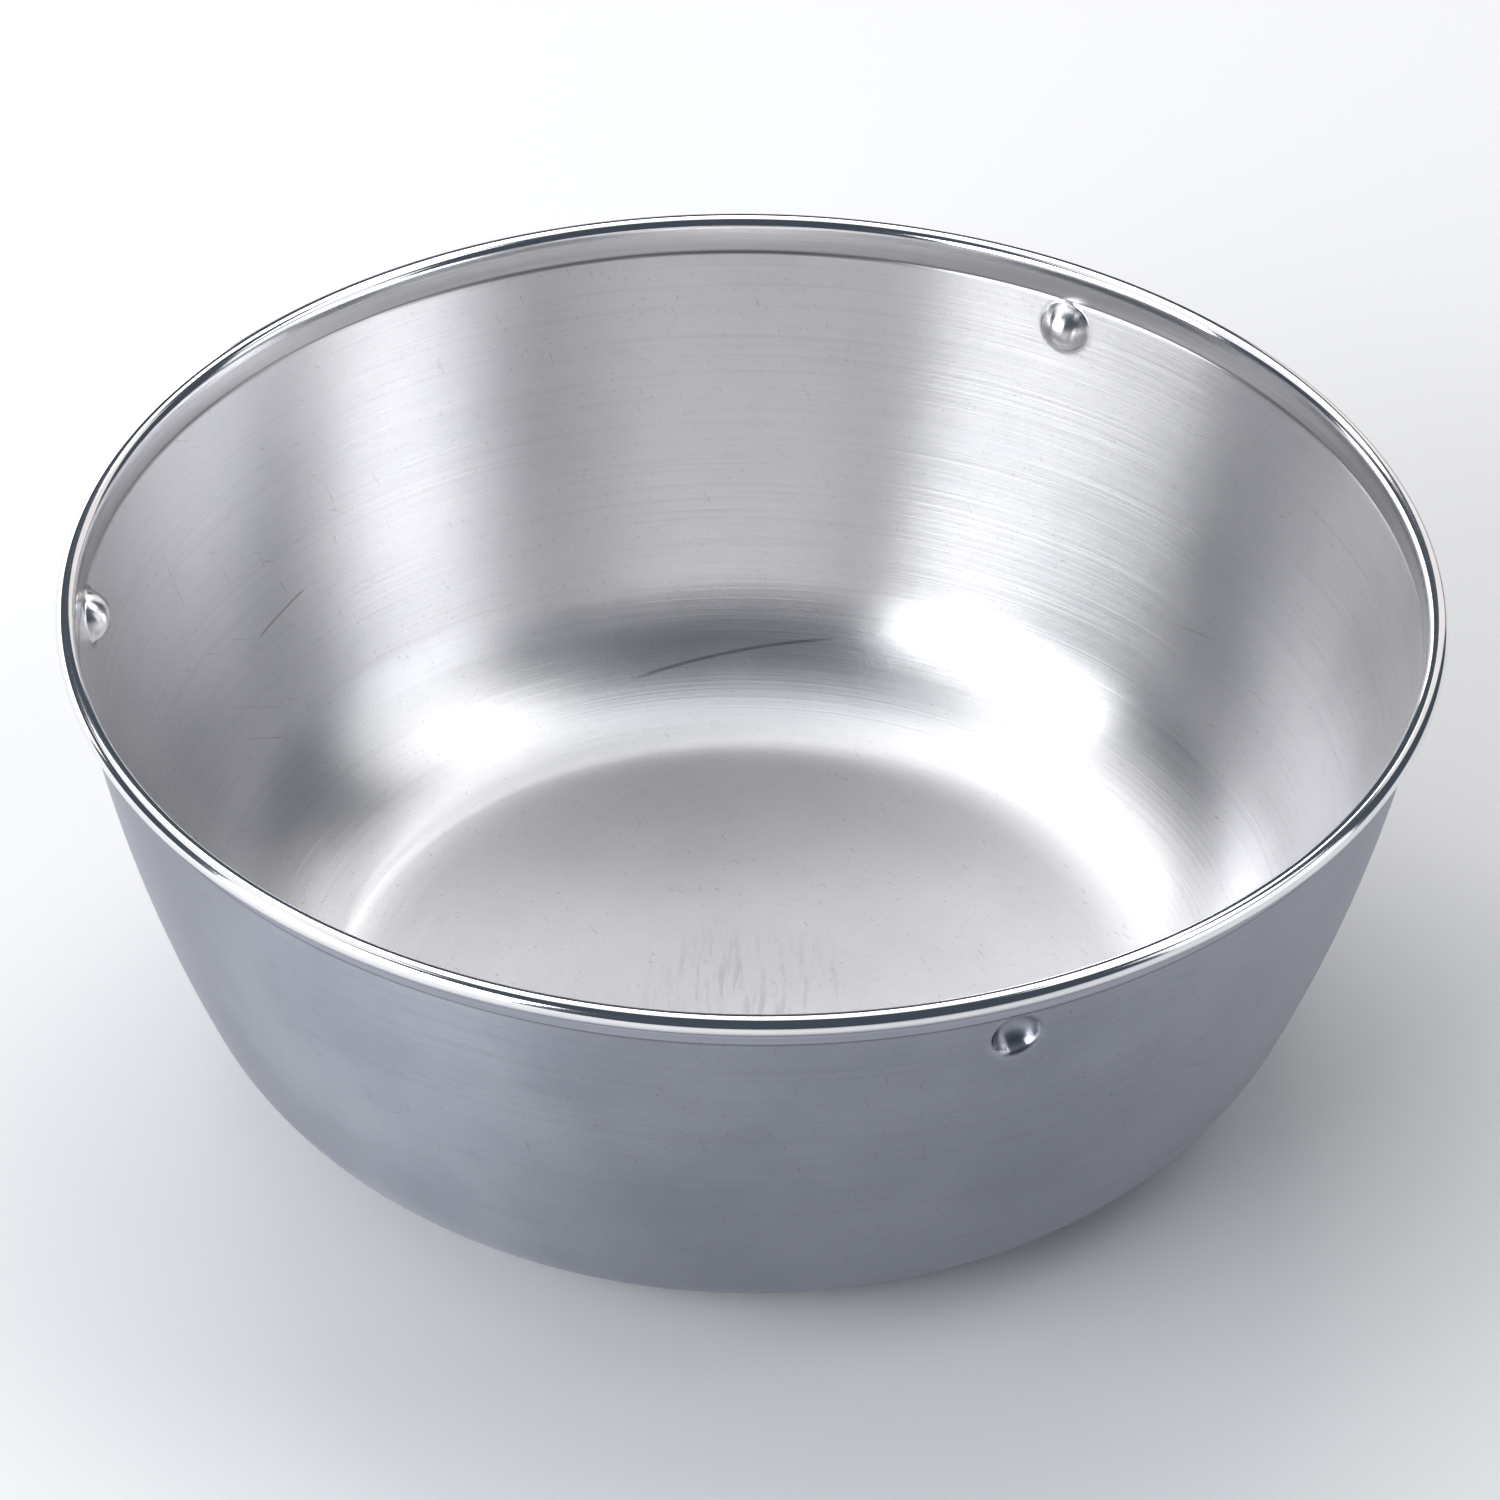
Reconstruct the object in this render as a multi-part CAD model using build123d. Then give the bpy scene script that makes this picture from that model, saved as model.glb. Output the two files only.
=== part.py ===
"""Wide open vessel of polished stainless sheet, with a rolled rim and three pressed stops.

Millimetres, +Z up. The origin is the centre of the face that the vessel stands on.
The sheet is drawn in one deep bowl. A narrow band above a crease is rolled outward over a
core wire. Three stops near the rim are pressed inward from the wall.
"""

from build123d import *
from math import asin, cos, degrees, radians, sin
import os

# Overall sizes
RIM_DIAMETER = 300.0  # over the outside of the rolled rim
OVERALL_HEIGHT = 115.0  # standing face to the top of the rim

# Sheet, and the shape it is drawn to. A lean is measured from the vertical, in degrees.
SHEET_THICKNESS = 0.8
CORNER_RADIUS = 44.0  # outside radius between wall and floor
WALL_LEAN_TOP = 8.2
WALL_LEAN_FOOT = 21.4

# Rolled rim
BEAD_DIAMETER = 4.4
BEAD_TURN = 300.0  # how far round the sheet is rolled, in degrees
BAND_HEIGHT = 8.5  # top of the rim down to the crease
BAND_LEAN = 3.5
WIRE_CLEARANCE = 0.05  # all round the wire, inside the roll

# Pressed stops
STOP_ANGLES = (60.0, 178.3, 292.0)  # about +Z from +X; the spacing is not quite even
STOP_DIAMETER = 12.0  # where the dome meets the inside of the wall
STOP_GAP = 0.7  # crease down to the dome's edge, which leaves room for the root radius
STOP_HEIGHT = 4.5  # how far the dome stands in from the wall
STOP_ROOT_RADIUS = 0.6  # on the inside, around the dome
STOP_LIP_RADIUS = 1.5  # on the outside, around the pit


def outward(lean):
    """In the half section, the direction out of the vessel and square to a sheet with this lean."""
    return Vector(cos(radians(lean)), -sin(radians(lean)))


def downward(lean):
    """In the half section, the direction down along a sheet with this lean."""
    return Vector(-sin(radians(lean)), -cos(radians(lean)))


# The half section is drawn with X as the radius and Y as the height.
# The bead's centre comes first, then the band's two faces from the bead down to the crease.
bead_radius = BEAD_DIAMETER / 2
bead_bore_radius = bead_radius - SHEET_THICKNESS
bead_centre = Vector(RIM_DIAMETER / 2 - bead_radius, OVERALL_HEIGHT - bead_radius)
band_top_inside = bead_centre - outward(BAND_LEAN) * bead_radius
band_top_outside = bead_centre - outward(BAND_LEAN) * bead_bore_radius
band_drop = band_top_inside.Y - (OVERALL_HEIGHT - BAND_HEIGHT)
crease_inside = band_top_inside + downward(BAND_LEAN) * (band_drop / cos(radians(BAND_LEAN)))
crease_outside = crease_inside + outward(WALL_LEAN_TOP) * SHEET_THICKNESS

# The wall's outside is one arc, which ends where the bottom corner's arc begins.
corner_rise = CORNER_RADIUS * (1 - sin(radians(WALL_LEAN_FOOT)))
wall_turn = WALL_LEAN_FOOT - WALL_LEAN_TOP
wall_drop = crease_outside.Y - corner_rise
wall_radius = wall_drop / (sin(radians(WALL_LEAN_FOOT)) - sin(radians(WALL_LEAN_TOP)))
wall_centre = crease_outside - outward(WALL_LEAN_TOP) * wall_radius

# A dome is part of a ball, and its pit is a smaller ball about the same centre.
dome_radius = ((STOP_DIAMETER / 2) ** 2 + STOP_HEIGHT**2) / (2 * STOP_HEIGHT)
pit_radius = dome_radius - SHEET_THICKNESS
stop_level = crease_inside.Y - STOP_GAP - STOP_DIAMETER / 2
stop_lean = degrees(asin((wall_centre.Y - stop_level) / wall_radius))
wall_inside_at_stop = wall_centre + outward(stop_lean) * (wall_radius - SHEET_THICKNESS)
stop_centre = wall_inside_at_stop + outward(stop_lean) * (dome_radius - STOP_HEIGHT)


def drawn_face(start, inset):
    """One face of the drawn sheet, from the crease to the axis, this far in from its outside."""
    wall = JernArc(start, downward(WALL_LEAN_TOP), wall_radius - inset, -wall_turn)
    corner = JernArc(wall @ 1, wall % 1, CORNER_RADIUS - inset, WALL_LEAN_FOOT - 90)
    floor = Line(corner @ 1, Vector(0, (corner @ 1).Y))
    return [wall, corner, floor]


def turned(outline):
    """Revolve a closed half section about the vertical axis."""
    return revolve(Plane.XZ * make_face(outline), Axis.Z, 360)


def stop_balls(radius):
    """One ball at the centre of each stop's dome, with its pole at the dome's top."""
    ball = Pos(stop_centre.X, 0, stop_centre.Y) * Rot(0, 90 + stop_lean, 0) * Sphere(radius)
    return [Rot(0, 0, angle) * ball for angle in STOP_ANGLES]


def edges_around_stops(shape, ball_radius, sheet_side):
    """The edges where the balls of this radius run into one face of the wall.

    sheet_side is the distance of that face from the arc that the wall's outside follows.
    """
    found = []
    for edge in shape.edges():
        point = edge @ 0.5
        on_ball = any(
            abs((point - ball.center()).length - ball_radius) < 0.01 for ball in stop_balls(ball_radius)
        )
        section = Vector(Vector(point.X, point.Y).length, point.Z)
        on_face = abs((section - wall_centre).length - (wall_radius - sheet_side)) < 0.01
        if on_ball and on_face:
            found.append(edge)
    return found


def make_bowl_shell():
    """The drawn sheet below the crease: wall, bottom corner, floor and the pressed stops."""
    outside = drawn_face(crease_outside, 0)
    inside = drawn_face(crease_inside, SHEET_THICKNESS)
    crease = Line(crease_inside, crease_outside)
    axis = Line(inside[-1] @ 1, outside[-1] @ 1)
    shell = turned([crease, *outside, axis, *inside])

    lid = Line(Vector(0, crease_outside.Y), crease_outside)
    envelope = turned([lid, *outside, Line(outside[-1] @ 1, lid @ 0)])
    for ball in stop_balls(dome_radius):
        shell += ball & envelope
    for ball in stop_balls(pit_radius):
        shell -= ball
    shell = fillet(edges_around_stops(shell, dome_radius, SHEET_THICKNESS), STOP_ROOT_RADIUS)
    return fillet(edges_around_stops(shell, pit_radius, 0), STOP_LIP_RADIUS)


def make_rim_band():
    """The sheet above the crease: a short band, then the roll over the wire."""
    inside = Line(crease_inside, band_top_inside)
    roll_outside = JernArc(inside @ 1, downward(BAND_LEAN) * -1, bead_radius, -BEAD_TURN)
    roll_inside = JernArc(band_top_outside, downward(BAND_LEAN) * -1, bead_bore_radius, -BEAD_TURN)
    sheet_end = Line(roll_outside @ 1, roll_inside @ 1)
    outside = Line(band_top_outside, crease_outside)
    crease = Line(crease_outside, crease_inside)
    return turned([inside, roll_outside, sheet_end, roll_inside, outside, crease])


def make_rim_wire():
    """The core wire, a full ring inside the roll."""
    centre = Location((bead_centre.X, bead_centre.Y, 0))
    section = centre * Circle(bead_bore_radius - WIRE_CLEARANCE)
    return revolve(Plane.XZ * section, Axis.Z, 360)


NODES = {
    "bowl_shell": make_bowl_shell,
    "rim_band": make_rim_band,
    "rim_wire": make_rim_wire,
}

os.makedirs("parts", exist_ok=True)
for name, make in NODES.items():
    export_step(make(), f"parts/{name}.step")
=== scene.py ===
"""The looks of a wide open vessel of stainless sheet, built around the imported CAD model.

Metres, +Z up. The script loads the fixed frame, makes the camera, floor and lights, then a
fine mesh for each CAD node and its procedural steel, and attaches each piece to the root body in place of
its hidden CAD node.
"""

from math import asin, ceil, cos, hypot, pi, radians, sin, sqrt

import bpy
from mathutils import Matrix, Vector


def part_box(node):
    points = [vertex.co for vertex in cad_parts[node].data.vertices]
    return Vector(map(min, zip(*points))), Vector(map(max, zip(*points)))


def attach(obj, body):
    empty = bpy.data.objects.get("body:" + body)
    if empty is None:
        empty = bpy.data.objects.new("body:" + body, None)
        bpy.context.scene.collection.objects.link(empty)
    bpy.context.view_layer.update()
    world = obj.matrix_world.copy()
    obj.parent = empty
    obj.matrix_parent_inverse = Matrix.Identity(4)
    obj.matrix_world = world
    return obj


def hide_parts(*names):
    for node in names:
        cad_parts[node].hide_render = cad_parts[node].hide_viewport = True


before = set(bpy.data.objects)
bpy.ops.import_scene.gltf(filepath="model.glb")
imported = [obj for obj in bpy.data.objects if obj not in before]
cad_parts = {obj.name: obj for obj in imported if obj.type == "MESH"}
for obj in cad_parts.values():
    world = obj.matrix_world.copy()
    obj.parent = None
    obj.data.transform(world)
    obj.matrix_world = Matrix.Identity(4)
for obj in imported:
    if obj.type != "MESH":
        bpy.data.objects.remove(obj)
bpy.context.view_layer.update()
MM = 0.001

# ---------------------------------------------------------------- sizes, as the CAD model has them
_, SHELL_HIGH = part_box("bowl_shell")
BAND_LOW, BAND_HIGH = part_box("rim_band")
WIRE_LOW, WIRE_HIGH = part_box("rim_wire")

RIM_RADIUS = min(BAND_HIGH.x, -BAND_LOW.x, BAND_HIGH.y, -BAND_LOW.y)
OVERALL_HEIGHT = BAND_HIGH.z
CREASE_HEIGHT = SHELL_HIGH.z
SHEET = 0.8 * MM
CORNER_RADIUS = 44.0 * MM
WALL_LEAN_TOP = radians(8.2)
WALL_LEAN_FOOT = radians(21.4)
BEAD_RADIUS = 2.2 * MM
BEAD_TURN = radians(300.0)
BAND_LEAN = radians(3.5)
STOP_ANGLES = [radians(a) for a in (60.0, 178.3, 292.0)]
STOP_DIAMETER = 12.0 * MM
STOP_GAP = 0.7 * MM
STOP_HEIGHT = 4.5 * MM
STOP_ROOT_RADIUS = 0.6 * MM
STOP_LIP_RADIUS = 1.5 * MM


def outward(lean):
    """In the half section (radius, height), square to a sheet with this lean and out of the vessel."""
    return Vector((cos(lean), -sin(lean)))


def downward(lean):
    """In the half section, down along a sheet with this lean."""
    return Vector((-sin(lean), -cos(lean)))


BEAD_BORE = BEAD_RADIUS - SHEET
BEAD_CENTRE = Vector((RIM_RADIUS - BEAD_RADIUS, OVERALL_HEIGHT - BEAD_RADIUS))
BAND_TOP_INSIDE = BEAD_CENTRE - outward(BAND_LEAN) * BEAD_RADIUS
BAND_LENGTH = (BAND_TOP_INSIDE.y - CREASE_HEIGHT) / cos(BAND_LEAN)
CREASE_INSIDE = BAND_TOP_INSIDE + downward(BAND_LEAN) * BAND_LENGTH
CREASE_OUTSIDE = CREASE_INSIDE + outward(WALL_LEAN_TOP) * SHEET
WALL_DROP = CREASE_OUTSIDE.y - CORNER_RADIUS * (1 - sin(WALL_LEAN_FOOT))
WALL_RADIUS = WALL_DROP / (sin(WALL_LEAN_FOOT) - sin(WALL_LEAN_TOP))
WALL_CENTRE = CREASE_OUTSIDE - outward(WALL_LEAN_TOP) * WALL_RADIUS
CORNER_CENTRE = WALL_CENTRE + outward(WALL_LEAN_FOOT) * (WALL_RADIUS - CORNER_RADIUS)
STOP_LEVEL = CREASE_INSIDE.y - STOP_GAP - STOP_DIAMETER / 2
STOP_LEAN = asin((WALL_CENTRE.y - STOP_LEVEL) / WALL_RADIUS)
STOP_WALL_RADIUS = WALL_CENTRE.x + WALL_RADIUS * cos(STOP_LEAN)
DOME_RADIUS = ((STOP_DIAMETER / 2) ** 2 + STOP_HEIGHT**2) / (2 * STOP_HEIGHT)

# ---------------------------------------------------------------- mesh fineness
COARSE_STEP = radians(1.5)
FINE_SPACING = 0.3 * MM
STOP_REACH = 7.3 * MM  # how far from a stop's centre the wall is drawn in
GROOVE_DEPTH = 0.15 * MM  # the crease reads as a fine line
GROOVE_WIDTH = 0.5 * MM

# Wear: the ways the small scratches run, as rotations, then the long scratches.
# Each long scratch runs between two points of the wall's inside, given as (angle about +Z, height).
WEAR_TURNS = ((0.3, 0.5, 0.9), (1.1, 0.2, 2.3), (0.7, 1.3, 0.2))
LONG_SCRATCHES = (
    ((radians(105.0), 9.5 * MM), (radians(80.0), 16.0 * MM)),
    ((radians(149.5), 49.0 * MM), (radians(141.5), 52.0 * MM)),
)


def spread(low, high, step):
    """Evenly spaced values from low up to, but without, high, no further apart than step."""
    count = max(1, ceil((high - low) / step - 1e-9))
    return [low + (high - low) * i / count for i in range(count)]


def dome_profile(ball_radius, ball_depth, root_radius, reach):
    """A dome's profile as (distance along it, distance from its axis, height), from its top outward.

    The ball's centre lies ball_depth below the surface that the dome rises from.
    """
    root_axis = sqrt((ball_radius + root_radius) ** 2 - (root_radius + ball_depth) ** 2)
    contact = asin(root_axis / (ball_radius + root_radius))
    points = []
    for i in range(41):
        angle = contact * i / 40
        points.append((ball_radius * angle, ball_radius * sin(angle), ball_radius * cos(angle) - ball_depth))
    along = ball_radius * contact
    for i in range(1, 13):
        angle = contact * (1 - i / 12)
        points.append(
            (
                along + root_radius * (contact - angle),
                root_axis - root_radius * sin(angle),
                root_radius - root_radius * cos(angle),
            )
        )
    along += root_radius * contact
    points.append((along + reach - root_axis, reach, 0.0))
    return points


def at_distance(profile, along):
    """The point of a dome's profile at this distance along it."""
    for (s0, d0, h0), (s1, d1, h1) in zip(profile, profile[1:]):
        if along <= s1:
            t = (along - s0) / (s1 - s0)
            return d0 + t * (d1 - d0), h0 + t * (h1 - h0)
    return profile[-1][1:]


DOME = dome_profile(DOME_RADIUS, DOME_RADIUS - STOP_HEIGHT, STOP_ROOT_RADIUS, STOP_REACH)
PIT = dome_profile(
    DOME_RADIUS - SHEET, DOME_RADIUS - STOP_HEIGHT - SHEET, STOP_LIP_RADIUS, STOP_REACH
)


def placed(section_point, angle):
    """A point of the half section, turned about the vertical axis."""
    return Vector((section_point.x * cos(angle), section_point.x * sin(angle), section_point.y))


def wall_point(angle, lean, inset):
    """A point of the wall, before the stops are pressed."""
    return placed(WALL_CENTRE + outward(lean) * (WALL_RADIUS - inset), angle)


def inside_point(angle, height):
    """The point of the inside at this height, on the wall or in the corner."""
    centre, radius = WALL_CENTRE, WALL_RADIUS - SHEET
    if height < CORNER_RADIUS * (1 - sin(WALL_LEAN_FOOT)):
        centre, radius = CORNER_CENTRE, CORNER_RADIUS - SHEET
    return placed(Vector((centre.x + sqrt(radius**2 - (centre.y - height) ** 2), height)), angle)


def pressed_wall_point(angle, lean, inset, profile):
    """A point of the wall, drawn in where it lies near a stop."""
    for stop in STOP_ANGLES:
        turn = (angle - stop + pi) % (2 * pi) - pi
        across = turn * STOP_WALL_RADIUS
        down = (lean - STOP_LEAN) * WALL_RADIUS
        distance = hypot(across, down)
        if distance >= STOP_REACH:
            continue
        new_distance, height = at_distance(profile, distance / STOP_REACH * profile[-1][0])
        shrink = new_distance / distance if distance else 0.0
        base = wall_point(
            stop + across * shrink / STOP_WALL_RADIUS, STOP_LEAN + down * shrink / WALL_RADIUS, inset
        )
        return base - placed(outward(STOP_LEAN), stop) * height
    return wall_point(angle, lean, inset)


def build_mesh(name, points, faces):
    """A mesh object in metres, smooth but for its real edges."""
    mesh = bpy.data.meshes.new(name)
    mesh.from_pydata([tuple(p) for p in points], [], faces)
    mesh.validate()
    mesh.shade_smooth()
    mesh.set_sharp_from_angle(angle=radians(50))
    piece = bpy.data.objects.new(name, mesh)
    bpy.context.scene.collection.objects.link(piece)
    return piece


def ring_faces(first, second, count, flip=False):
    """Quads between two rings of points, given by the index of each ring's first point."""
    quads = []
    for i in range(count):
        j = (i + 1) % count
        quad = (first + i, first + j, second + j, second + i)
        quads.append(quad[::-1] if flip else quad)
    return quads


def make_shell():
    """The drawn bowl, with both faces of its sheet and the pressed stops."""
    stop_half_turn = STOP_REACH / STOP_WALL_RADIUS
    fine_turn = FINE_SPACING / STOP_WALL_RADIUS
    angles = []
    for stop, following in zip(STOP_ANGLES, STOP_ANGLES[1:] + [STOP_ANGLES[0] + 2 * pi]):
        angles += spread(stop - stop_half_turn, stop + stop_half_turn, fine_turn)
        angles += spread(stop + stop_half_turn, following - stop_half_turn, COARSE_STEP)
    count = len(angles)

    stop_half_lean = STOP_REACH / WALL_RADIUS
    fine_lean = FINE_SPACING / WALL_RADIUS
    groove_lean = WALL_LEAN_TOP + GROOVE_WIDTH / WALL_RADIUS
    wall_leans = [WALL_LEAN_TOP]
    wall_leans += spread(max(groove_lean, STOP_LEAN - stop_half_lean), STOP_LEAN + stop_half_lean, fine_lean)
    wall_leans += spread(STOP_LEAN + stop_half_lean, WALL_LEAN_FOOT, 2.5 * MM / WALL_RADIUS)
    corner_leans = spread(WALL_LEAN_FOOT, pi / 2, radians(3.0))
    floor_radii = [CORNER_CENTRE.x * (1 - i / 10) for i in range(10)]

    points, faces = [], []
    for inset, profile in ((0.0, PIT), (SHEET, DOME)):
        for lean in wall_leans:
            groove = GROOVE_DEPTH if inset and lean == WALL_LEAN_TOP else 0.0
            points += [pressed_wall_point(a, lean, inset - groove, profile) for a in angles]
        for lean in corner_leans:
            section = CORNER_CENTRE + outward(lean) * (CORNER_RADIUS - inset)
            points += [placed(section, a) for a in angles]
        for radius in floor_radii:
            points += [placed(Vector((radius, inset)), a) for a in angles]
        points.append(Vector((0, 0, inset)))
    rings = len(wall_leans) + len(corner_leans) + len(floor_radii)
    face_points = rings * count + 1
    for side in (0, 1):
        start = side * face_points
        for k in range(rings - 1):
            faces += ring_faces(start + k * count, start + (k + 1) * count, count, flip=(side == 0))
        last = start + (rings - 1) * count
        pole = start + rings * count
        for i in range(count):
            fan = (last + i, last + (i + 1) % count, pole)
            faces.append(fan[::-1] if side == 0 else fan)
    faces += ring_faces(0, face_points, count)
    return build_mesh("bowl_shell_fine", points, faces)


def lathe(name, outline, count):
    """A ring: this closed outline of the half section turned about the vertical axis."""
    angles = [2 * pi * i / count for i in range(count)]
    points = [placed(p, a) for p in outline for a in angles]
    faces = []
    for k in range(len(outline)):
        following = (k + 1) % len(outline)
        faces += ring_faces(k * count, following * count, count)
    return build_mesh(name, points, faces)


def arc(centre, radius, start, turn, steps):
    """Points of a clockwise arc in the half section; start is its first point's direction."""
    directions = [start - turn * i / steps for i in range(steps + 1)]
    return [centre + Vector((cos(d), sin(d))) * radius for d in directions]


def make_band():
    """The band above the crease and the roll of the rim."""
    start = pi - BAND_LEAN
    roll_outside = arc(BEAD_CENTRE, BEAD_RADIUS, start, BEAD_TURN, 48)
    roll_inside = arc(BEAD_CENTRE, BEAD_BORE, start, BEAD_TURN, 48)[::-1]
    groove_top = CREASE_INSIDE - downward(BAND_LEAN) * GROOVE_WIDTH
    groove_foot = CREASE_INSIDE + outward(WALL_LEAN_TOP) * GROOVE_DEPTH
    outline = [groove_foot, groove_top, *roll_outside, *roll_inside, CREASE_OUTSIDE]
    return lathe("rim_band_fine", outline[::-1], 720)


def make_wire():
    """The core wire inside the roll."""
    radius = (WIRE_HIGH.z - WIRE_LOW.z) / 2
    return lathe("rim_wire_fine", arc(BEAD_CENTRE, radius, 0.0, 2 * pi, 24)[:-1][::-1], 240)


# ---------------------------------------------------------------- materials
# the outside of both steels, between which the patches and the brushing vary; painted shade: far darker and
# bluer than the inside, this colour stands for the dark, bluish surroundings that the outside reflects
OUTER_DARK = (0.31, 0.325, 0.375)
OUTER_LIGHT = (0.37, 0.385, 0.435)


class Nodes:
    """Short calls for building one material's node tree."""

    def __init__(self, name):
        self.material = bpy.data.materials.new(name)
        self.material.use_nodes = True
        self.tree = self.material.node_tree
        self.shader = self.tree.nodes["Principled BSDF"]

    def add(self, kind, **settings):
        node = self.tree.nodes.new(kind)
        for key, value in settings.items():
            setattr(node, key, value)
        return node

    def link(self, source, target):
        self.tree.links.new(source, target)

    def math(self, operation, first, second=0.0, third=0.0):
        node = self.add("ShaderNodeMath", operation=operation)
        for socket, value in zip(node.inputs, (first, second, third)):
            if isinstance(value, (int, float)):
                socket.default_value = value
            else:
                self.link(value, socket)
        return node.outputs[0]

    def position(self):
        return self.add("ShaderNodeTexCoord").outputs["Object"]

    def parts(self, vector):
        node = self.add("ShaderNodeSeparateXYZ")
        self.link(vector, node.inputs[0])
        return node.outputs

    def from_axis(self, x, y):
        """The distance from the vessel's axis."""
        squares = [self.math("MULTIPLY", value, value) for value in (x, y)]
        return self.math("SQRT", self.math("ADD", *squares))

    def vector(self, x, y, z):
        node = self.add("ShaderNodeCombineXYZ")
        for socket, value in zip(node.inputs, (x, y, z)):
            if isinstance(value, (int, float)):
                socket.default_value = value
            else:
                self.link(value, socket)
        return node.outputs[0]

    def noise(self, vector, scale, detail=2.0, roughness=0.5):
        node = self.add("ShaderNodeTexNoise")
        node.inputs["Scale"].default_value = scale
        node.inputs["Detail"].default_value = detail
        node.inputs["Roughness"].default_value = roughness
        self.link(vector, node.inputs["Vector"])
        return node.outputs["Fac"]

    def ramp(self, value, low, high, out_low=0.0, out_high=1.0):
        node = self.add("ShaderNodeMapRange", interpolation_type="SMOOTHSTEP")
        for key, number in zip(("From Min", "From Max", "To Min", "To Max"), (low, high, out_low, out_high)):
            node.inputs[key].default_value = number
        self.link(value, node.inputs["Value"])
        return node.outputs[0]

    def blend(self, factor, first, second):
        node = self.add("ShaderNodeMix", data_type="RGBA")
        self.link(factor, node.inputs["Factor"])
        for socket, value in ((node.inputs[6], first), (node.inputs[7], second)):
            if isinstance(value, tuple):
                socket.default_value = (*value, 1.0)
            else:
                self.link(value, socket)
        return node.outputs[2]

    def bump(self, height, strength, distance, normal=None):
        node = self.add("ShaderNodeBump")
        node.inputs["Strength"].default_value = strength
        node.inputs["Distance"].default_value = distance
        self.link(height, node.inputs["Height"])
        if normal is not None:
            self.link(normal, node.inputs["Normal"])
        return node.outputs[0]


def around_coordinates(nodes, along, across):
    """Coordinates that change slowly around the vessel and quickly up its section."""
    x, y, z = nodes.parts(nodes.position())
    radius = nodes.from_axis(x, y)
    run = nodes.math("ADD", radius, z)
    return nodes.vector(
        nodes.math("MULTIPLY", x, along),
        nodes.math("MULTIPLY", y, along),
        nodes.math("MULTIPLY", run, across),
    )


def wear_lines(nodes, turn, across, threshold):
    """Sparse thin scratches, all running one way in space."""
    mapping = nodes.add("ShaderNodeMapping", vector_type="TEXTURE")
    nodes.link(nodes.position(), mapping.inputs["Vector"])
    mapping.inputs["Rotation"].default_value = turn
    mapping.inputs["Scale"].default_value = (1 / 16.0, 1 / across, 1 / across)
    return nodes.ramp(nodes.noise(mapping.outputs[0], 1.0, 1.0), threshold, threshold + 0.05)


def cut_line(nodes, start, end):
    """One long thin scratch on the wall, between two points given as (angle, height)."""
    a, b = (inside_point(*end_point) for end_point in (start, end))
    middle = (a + b) / 2
    inward = Vector((-middle.x, -middle.y, 0)).normalized()
    across = (b - a).cross(inward).normalized()
    offset = nodes.add("ShaderNodeVectorMath", operation="SUBTRACT")
    nodes.link(nodes.position(), offset.inputs[0])
    offset.inputs[1].default_value = middle
    away = nodes.add("ShaderNodeVectorMath", operation="DOT_PRODUCT")
    nodes.link(offset.outputs[0], away.inputs[0])
    away.inputs[1].default_value = across
    length = nodes.add("ShaderNodeVectorMath", operation="LENGTH")
    nodes.link(offset.outputs[0], length.inputs[0])
    thin = nodes.ramp(nodes.math("ABSOLUTE", away.outputs["Value"]), 0.0001, 0.0004, 1.0, 0.0)
    half = (b - a).length / 2
    short = nodes.ramp(length.outputs["Value"], half * 0.7, half * 1.1, 1.0, 0.0)
    return nodes.math("MULTIPLY", thin, short)


def facing_outward(nodes):
    """1 on the outside of the vessel and 0 on its inside, from the position and the normal."""
    x, y, _ = nodes.parts(nodes.position())
    radius = nodes.from_axis(x, y)
    normal_x, normal_y, normal_z = nodes.parts(nodes.add("ShaderNodeTexCoord").outputs["Normal"])
    turned_out = nodes.math("ADD", nodes.math("MULTIPLY", x, normal_x), nodes.math("MULTIPLY", y, normal_y))
    turned_out = nodes.math("DIVIDE", turned_out, nodes.math("MAXIMUM", radius, 0.001))
    return nodes.ramp(nodes.math("SUBTRACT", turned_out, normal_z), -0.2, 0.2)


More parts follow.
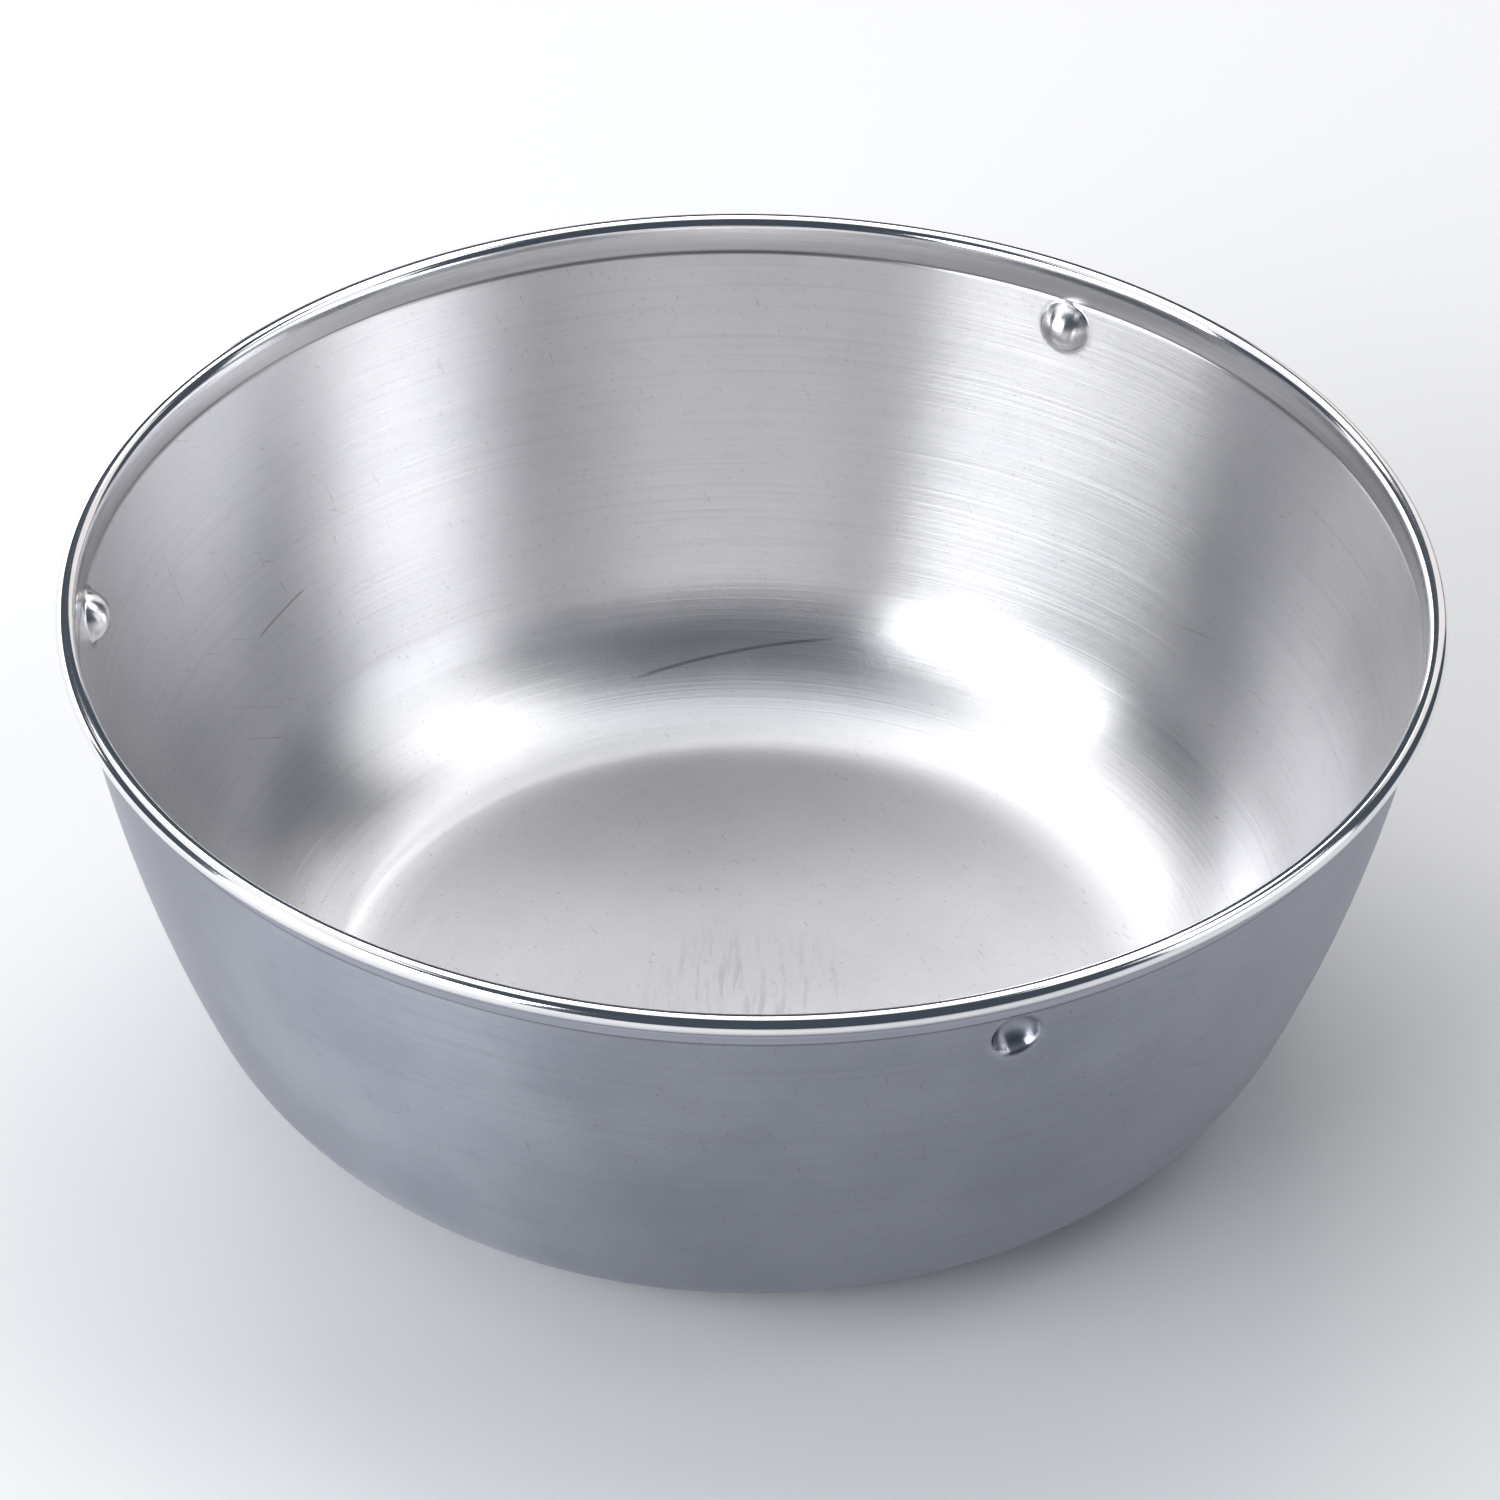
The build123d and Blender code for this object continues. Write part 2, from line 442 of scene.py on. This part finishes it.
def satin_steel():
    nodes = Nodes("satin_steel_looks")
    fine = nodes.noise(around_coordinates(nodes, 14.0, 2600.0), 1.0, 3.0, 0.6)
    lines = nodes.noise(around_coordinates(nodes, 9.0, 800.0), 1.0, 4.0, 0.7)
    broad = nodes.noise(around_coordinates(nodes, 5.0, 120.0), 1.0, 2.0, 0.5)
    patches = nodes.noise(nodes.position(), 22.0, 3.0, 0.55)
    blotches = nodes.noise(nodes.position(), 260.0, 3.0, 0.65)

    # the inside is brighter than the outside, as painted shade: the outside's dark colour stands for the
    # surroundings it reflects
    x, y, z = nodes.parts(nodes.position())
    radius = nodes.from_axis(x, y)
    outside = facing_outward(nodes)
    flat = nodes.ramp(radius, CORNER_CENTRE.x - 4 * MM, CORNER_CENTRE.x + 22 * MM, 1.0, 0.0)
    round_marks = nodes.math("SUBTRACT", 1.0, flat)

    # the pressing tool has polished the stops
    nearest = 1.0
    for stop in STOP_ANGLES:
        gap = nodes.add("ShaderNodeVectorMath", operation="DISTANCE")
        nodes.link(nodes.position(), gap.inputs[0])
        gap.inputs[1].default_value = wall_point(stop, STOP_LEAN, SHEET)
        nearest = nodes.math("MINIMUM", gap.outputs["Value"], nearest)
    pressed = nodes.ramp(nearest, 0.0062, 0.0078, 1.0, 0.0)

    scratches = 0.0
    for turn in WEAR_TURNS:
        scratches = nodes.math("MAXIMUM", wear_lines(nodes, turn, 1400.0, 0.72), scratches)
    scratches = nodes.math("MULTIPLY", scratches, 0.4)
    inside = nodes.math("SUBTRACT", 1.0, outside)
    for start, end in LONG_SCRATCHES:
        cut = nodes.math("MULTIPLY", cut_line(nodes, start, end), inside)
        scratches = nodes.math("MAXIMUM", cut, scratches)

    # chatter left around the middle of the floor
    stretched = nodes.vector(nodes.math("MULTIPLY", x, 420.0), nodes.math("MULTIPLY", y, 45.0), 0.0)
    grain = nodes.noise(stretched, 1.0, 4.0, 0.7)
    middle = nodes.ramp(radius, 6 * MM, 34 * MM, 1.0, 0.0)
    chatter = nodes.math("MULTIPLY", nodes.ramp(grain, 0.48, 0.66), middle)

    inner = nodes.blend(nodes.ramp(patches, 0.3, 0.7), (0.78, 0.775, 0.79), (0.84, 0.83, 0.84))
    # painted shade: the outside gets the dark, bluish colour that stands for its reflected surroundings
    outer = nodes.blend(nodes.ramp(patches, 0.3, 0.7), OUTER_DARK, OUTER_LIGHT)
    colour = nodes.blend(outside, inner, outer)
    shade = nodes.math("MULTIPLY_ADD", nodes.math("SUBTRACT", lines, 0.5), 0.34, 0.0)
    shade = nodes.math("MULTIPLY_ADD", shade, round_marks, 1.0)
    # painted shade: the shell is darkened by up to 0.4 over its last 0.9 mm below the crease, standing for
    # the shadow in the crease line
    painted_crease_shade = nodes.ramp(z, CREASE_INSIDE.y - 0.9 * MM, CREASE_INSIDE.y - 0.2 * MM)
    shade = nodes.math("MULTIPLY", shade, nodes.math("MULTIPLY_ADD", painted_crease_shade, -0.4, 1.0))
    shade = nodes.math("MULTIPLY", shade, nodes.math("MULTIPLY_ADD", blotches, 0.08, 0.96))
    shade = nodes.math("MULTIPLY", shade, nodes.math("MULTIPLY_ADD", scratches, -0.45, 1.0))
    shade = nodes.math("MULTIPLY", shade, nodes.math("MULTIPLY_ADD", chatter, -0.16, 1.0))
    colour = nodes.blend(shade, (0.0, 0.0, 0.0), colour)
    nodes.link(colour, nodes.shader.inputs["Base Color"])

    rough = nodes.math("MULTIPLY_ADD", fine, 0.12, 0.22)
    rough = nodes.math("MULTIPLY_ADD", patches, 0.06, rough)
    rough = nodes.math("MULTIPLY_ADD", outside, 0.08, rough)
    rough = nodes.math("MULTIPLY_ADD", pressed, -0.08, rough)
    rough = nodes.math("MULTIPLY_ADD", flat, 0.3, rough)
    nodes.link(rough, nodes.shader.inputs["Roughness"])
    normal = nodes.bump(fine, 0.14, 0.0002)
    normal = nodes.bump(nodes.math("MULTIPLY", lines, round_marks), 0.10, 0.0005, normal)
    normal = nodes.bump(nodes.math("MULTIPLY", broad, round_marks), 0.05, 0.0015, normal)
    nodes.link(normal, nodes.shader.inputs["Normal"])

    # the wall is brushed around, and the floor keeps the straight grain of the sheet
    tangent = nodes.add("ShaderNodeTangent", direction_type="RADIAL", axis="Z")
    brushing = nodes.blend(flat, tangent.outputs[0], (0.0, 1.0, 0.0))
    nodes.link(brushing, nodes.shader.inputs["Tangent"])
    nodes.shader.inputs["Metallic"].default_value = 1.0
    nodes.shader.inputs["Anisotropic"].default_value = 0.8
    nodes.shader.inputs["Anisotropic Rotation"].default_value = 0.25
    return nodes.material


def polished_steel():
    """Polished on the bead, and satin like the wall on the band below it."""
    nodes = Nodes("polished_steel_looks")
    fine = nodes.noise(around_coordinates(nodes, 20.0, 2200.0), 1.0, 3.0, 0.6)
    lines = nodes.noise(around_coordinates(nodes, 9.0, 800.0), 1.0, 4.0, 0.7)
    patches = nodes.noise(nodes.position(), 40.0, 3.0, 0.55)
    height = nodes.parts(nodes.position())[2]
    band = nodes.ramp(height, BEAD_CENTRE.y - 1.6 * MM, BEAD_CENTRE.y - 0.4 * MM, 1.0, 0.0)
    bead_colour = nodes.blend(nodes.ramp(patches, 0.3, 0.7), (0.80, 0.80, 0.81), (0.88, 0.88, 0.885))
    inner = nodes.blend(nodes.ramp(lines, 0.35, 0.65), (0.76, 0.755, 0.76), (0.84, 0.83, 0.835))
    # painted shade: the band's inside fades towards black over its lowest 0.9 mm, down to 0.45 of its tone
    # at the crease, standing for the shadow in the crease line
    painted_crease_shade = nodes.ramp(height, CREASE_INSIDE.y, CREASE_INSIDE.y + 0.9 * MM, 0.45, 1.0)
    inner = nodes.blend(painted_crease_shade, (0.0, 0.0, 0.0), inner)
    # painted shade: the band's outside gets the same dark, bluish colour as the wall's outside
    outer = nodes.blend(nodes.ramp(lines, 0.35, 0.65), OUTER_DARK, OUTER_LIGHT)
    band_colour = nodes.blend(facing_outward(nodes), inner, outer)
    nodes.link(nodes.blend(band, bead_colour, band_colour), nodes.shader.inputs["Base Color"])
    rough = nodes.math("MULTIPLY_ADD", fine, 0.06, 0.07)
    nodes.link(nodes.math("MULTIPLY_ADD", band, 0.2, rough), nodes.shader.inputs["Roughness"])
    nodes.link(nodes.bump(fine, 0.04, 0.0002), nodes.shader.inputs["Normal"])
    nodes.shader.inputs["Metallic"].default_value = 1.0
    return nodes.material


def floor_paper():
    nodes = Nodes("floor_paper")
    nodes.shader.inputs["Base Color"].default_value = (0.88, 0.88, 0.885, 1.0)
    nodes.shader.inputs["Roughness"].default_value = 0.9
    return nodes.material


# ---------------------------------------------------------------- camera, floor and lights
def make_camera():
    distance = 1.35  # from the middle of the rim
    elevation = radians(35.59)
    rim_centre = Vector((0, 0, BEAD_CENTRE.y))
    place = rim_centre + Vector((0, -cos(elevation), sin(elevation))) * distance
    camera = bpy.data.objects.new("camera", bpy.data.cameras.new("camera"))
    camera.data.sensor_width = 36.0
    camera.data.lens = 149.93
    camera.location = place
    pitch = radians(1.475)
    roll = radians(0.847)
    aim = Matrix.Rotation(pi / 2 - elevation - pitch, 4, "X") @ Matrix.Rotation(roll, 4, "Z")
    camera.matrix_world = Matrix.Translation(place) @ aim
    bpy.context.scene.collection.objects.link(camera)
    bpy.context.scene.camera = camera


def make_floor():
    half = 6.0
    corners = [(-half, -half, 0), (half, -half, 0), (half, half, 0), (-half, half, 0)]
    mesh = bpy.data.meshes.new("floor")
    mesh.from_pydata(corners, [], [(0, 1, 2, 3)])
    floor = bpy.data.objects.new("floor", mesh)
    floor.data.materials.append(floor_paper())
    bpy.context.scene.collection.objects.link(floor)


LIGHT_TARGET = Vector((0, 0, 0.05))
LIGHT_DISTANCE = 1.8  # from the foot of the vessel's axis


def softbox(name, azimuth, elevation, width, height, radiance, colour=(1, 1, 1)):
    """An area light aimed at the vessel. Azimuth 0 is in front, and 90 is at its right."""
    light = bpy.data.lights.new(name, "AREA")
    light.shape = "RECTANGLE"
    light.size = width
    light.size_y = height
    light.energy = radiance * pi * width * height
    light.color = colour
    lamp = bpy.data.objects.new(name, light)
    a, e = radians(azimuth), radians(elevation)
    lamp.location = Vector((sin(a) * cos(e), -cos(a) * cos(e), sin(e))) * LIGHT_DISTANCE
    lamp.rotation_euler = (LIGHT_TARGET - lamp.location).to_track_quat("-Z", "Y").to_euler()
    bpy.context.scene.collection.objects.link(lamp)


def make_lights():
    world = bpy.data.worlds.new("studio")
    world.use_nodes = True
    world.node_tree.nodes["Background"].inputs[0].default_value = (0.62, 0.77, 1.0, 1)
    world.node_tree.nodes["Background"].inputs[1].default_value = 0.1
    bpy.context.scene.world = world
    bpy.context.scene.view_settings.view_transform = "Standard"
    softbox("overhead", 180, 79, 1.5, 0.75, 1.5, (0.95, 0.98, 1.0))
    softbox("back_high", -172, 56, 1.4, 0.75, 3.4, (1.0, 0.975, 0.96))
    softbox("left_high", -106, 52, 1.5, 0.9, 1.0)
    softbox("right_high", 92, 54, 0.8, 0.8, 2.1)
    softbox("front_left", -57, 21, 1.6, 1.3, 5.2, (0.965, 0.985, 1.0))
    softbox("right", 80, 18, 1.2, 1.1, 1.1, (0.965, 0.985, 1.0))
    softbox("back_right", 150, 26, 0.9, 1.2, 0.9, (1.0, 0.94, 0.91))
    softbox("back_left", -138, 12, 1.6, 0.7, 2.4, (1.0, 0.94, 0.91))


make_camera()
make_floor()
make_lights()

shell = make_shell()
band = make_band()
wire = make_wire()
satin = satin_steel()
polished = polished_steel()
for piece, node, slot, material in (
    (shell, "bowl_shell", "satin_steel", satin),
    (band, "rim_band", "polished_steel", polished),
    (wire, "rim_wire", "wire_steel", polished),
):
    piece.data.materials.append(material)
    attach(piece, "root")
    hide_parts(node)
